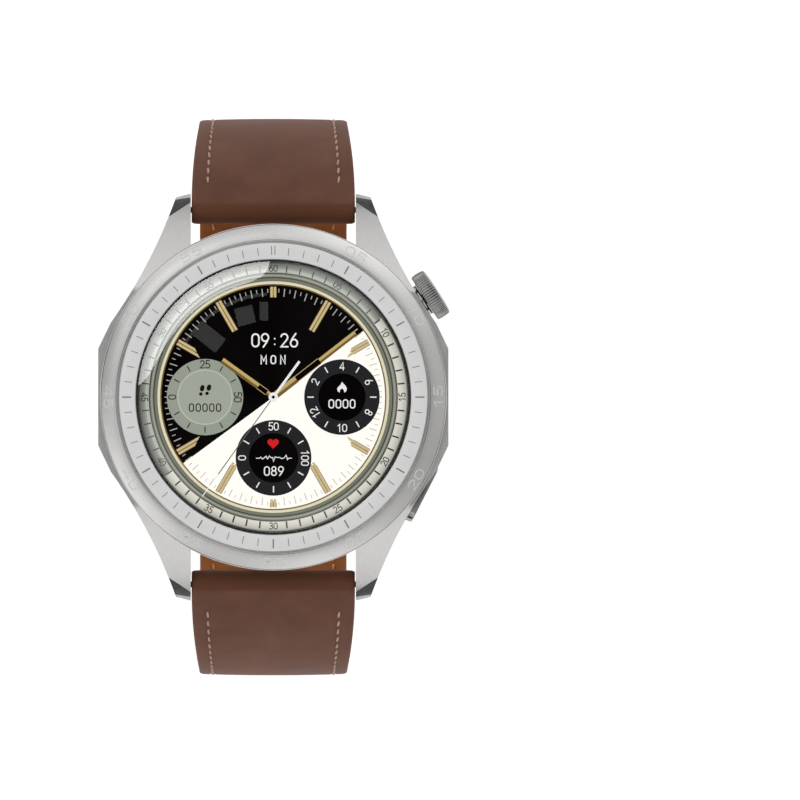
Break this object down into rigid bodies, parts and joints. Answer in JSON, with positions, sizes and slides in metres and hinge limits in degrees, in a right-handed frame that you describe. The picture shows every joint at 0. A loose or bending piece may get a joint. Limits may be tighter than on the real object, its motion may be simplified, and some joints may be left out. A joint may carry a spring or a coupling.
{
  "type": "smartwatch",
  "caption": "Round steel smartwatch with a fluted crown, a flush side button and a stitched leather strap with quick-release bars and a pin buckle, unbuckled.",
  "frame": {"origin": "centre of the back crystal's flat lower face, where the watch sits on a wrist", "axes": "+Z out of the dial, +Y to 12 o'clock, +X to 3 o'clock, the crown's side"},
  "size_m": [0.0469, 0.0744, 0.0872],
  "materials": {
    "case_steel": "brushed",
    "ring_steel": "satin",
    "glass": "polished",
    "seal_rubber": "matte",
    "display": "gloss",
    "dark_plastic": "matte",
    "flex_gold": "satin",
    "back_composite": "satin",
    "back_glass": "gloss",
    "screw_steel": "satin",
    "board_green": "gloss",
    "coil_copper": "satin",
    "ferrite": "matte",
    "battery_foil": "satin",
    "can_metal": "satin",
    "heavy_metal": "satin",
    "white_plastic": "matte",
    "crown_steel": "polished",
    "leather_brown": "grained",
    "leather_amber": "smooth",
    "strap_filler": "matte",
    "buckle_steel": "brushed"
  },
  "bodies": {
    "case": {"mid_case": "case_steel", "bezel_ring": "case_steel", "minute_ring": "ring_steel", "cover_glass": "glass", "glass_gasket": "seal_rubber", "display_panel": "display", "display_bracket": "dark_plastic", "display_flex": "flex_gold", "back_cover": "back_composite", "back_crystal": "back_glass", "back_gasket": "seal_rubber", "back_screws": "screw_steel", "sensor_board": "board_green", "light_shield": "dark_plastic", "charging_coil": "coil_copper", "coil_ferrite": "ferrite", "chassis": "dark_plastic", "battery": "battery_foil", "main_board": "board_green", "shield_cans": "can_metal", "board_screws": "screw_steel", "speaker": "dark_plastic", "speaker_mesh": "can_metal", "microphone": "flex_gold", "motor_can": "can_metal", "motor_shaft": "screw_steel", "crown_tube": "screw_steel", "crown_switch": "dark_plastic", "crown_seal": "seal_rubber", "button_switch": "dark_plastic"},
    "motor_rotor": {"motor_weight": "heavy_metal"},
    "crown_plunger": {"crown_pusher": "white_plastic"},
    "crown": {"crown_stem": "screw_steel", "crown_clip": "screw_steel", "crown_encoder": "flex_gold", "crown_knob": "crown_steel", "crown_cap": "crown_steel"},
    "button": {"side_button": "crown_steel", "button_stems": "screw_steel", "button_clips": "screw_steel", "button_yoke": "can_metal"},
    "strap_12": {"strap_12_top": "leather_brown", "strap_12_core": "strap_filler", "strap_12_lining": "leather_amber", "fixed_keeper": "leather_brown", "buckle_bar": "screw_steel", "spring_bar_12": "screw_steel", "release_spring_12": "screw_steel"},
    "release_12": {"release_pin_12": "screw_steel"},
    "keeper": {"sliding_keeper": "leather_brown"},
    "buckle": {"buckle_frame": "buckle_steel"},
    "tongue": {"buckle_tongue": "buckle_steel"},
    "strap_6": {"strap_6_top": "leather_brown", "strap_6_core": "strap_filler", "strap_6_lining": "leather_amber", "spring_bar_6": "screw_steel", "release_spring_6": "screw_steel"},
    "release_6": {"release_pin_6": "screw_steel"}
  },
  "joints": [
    {"name": "motor_spin", "type": "hinge", "parent": "case", "child": "motor_rotor", "pos_m": [-0.0052, -0.0119, 0.0045], "axis": [0, 0, 1], "continuous": true},
    {"name": "crown_press", "type": "slide", "parent": "case", "child": "crown_plunger", "axis": [-0.8387, -0.5446, 0], "range_m": [0, 0.0004], "stiffness_N_per_m": 4000, "springref_m": -0.0003},
    {"name": "crown_turn", "type": "hinge", "parent": "crown_plunger", "child": "crown", "pos_m": [0, 0, 0.0049], "axis": [0.8387, 0.5446, 0], "continuous": true},
    {"name": "button_press", "type": "slide", "parent": "case", "child": "button", "axis": [-0.8904, 0.4551, 0], "range_m": [0, 0.0004], "stiffness_N_per_m": 4000, "springref_m": -0.0003},
    {"name": "strap_12_swing", "type": "hinge", "parent": "case", "child": "strap_12", "pos_m": [0, 0.025, 0.0017], "axis": [1, 0, 0], "range_deg": [-12, 40]},
    {"name": "release_12_slide", "type": "slide", "parent": "strap_12", "child": "release_12", "axis": [1, 0, 0], "range_m": [0, 0.0012], "stiffness_N_per_m": 800, "springref_m": -0.0015, "deforming": ["release_spring_12"]},
    {"name": "keeper_slide", "type": "hinge", "parent": "strap_12", "child": "keeper", "pos_m": [0, 0.00592, -0.02145], "axis": [1, 0, 0], "range_deg": [-12, 36]},
    {"name": "buckle_swing", "type": "hinge", "parent": "strap_12", "child": "buckle", "pos_m": [0, 0.00947, -0.05124], "axis": [1, 0, 0], "range_deg": [-20, 70]},
    {"name": "tongue_swing", "type": "hinge", "parent": "buckle", "child": "tongue", "pos_m": [0, 0.00947, -0.05124], "axis": [1, 0, 0], "range_deg": [0, 50]},
    {"name": "strap_6_swing", "type": "hinge", "parent": "case", "child": "strap_6", "pos_m": [0, -0.025, 0.0017], "axis": [-1, 0, 0], "range_deg": [0, 40]},
    {"name": "release_6_slide", "type": "slide", "parent": "strap_6", "child": "release_6", "axis": [1, 0, 0], "range_m": [0, 0.0012], "stiffness_N_per_m": 800, "springref_m": -0.0015, "deforming": ["release_spring_6"]}
  ]
}
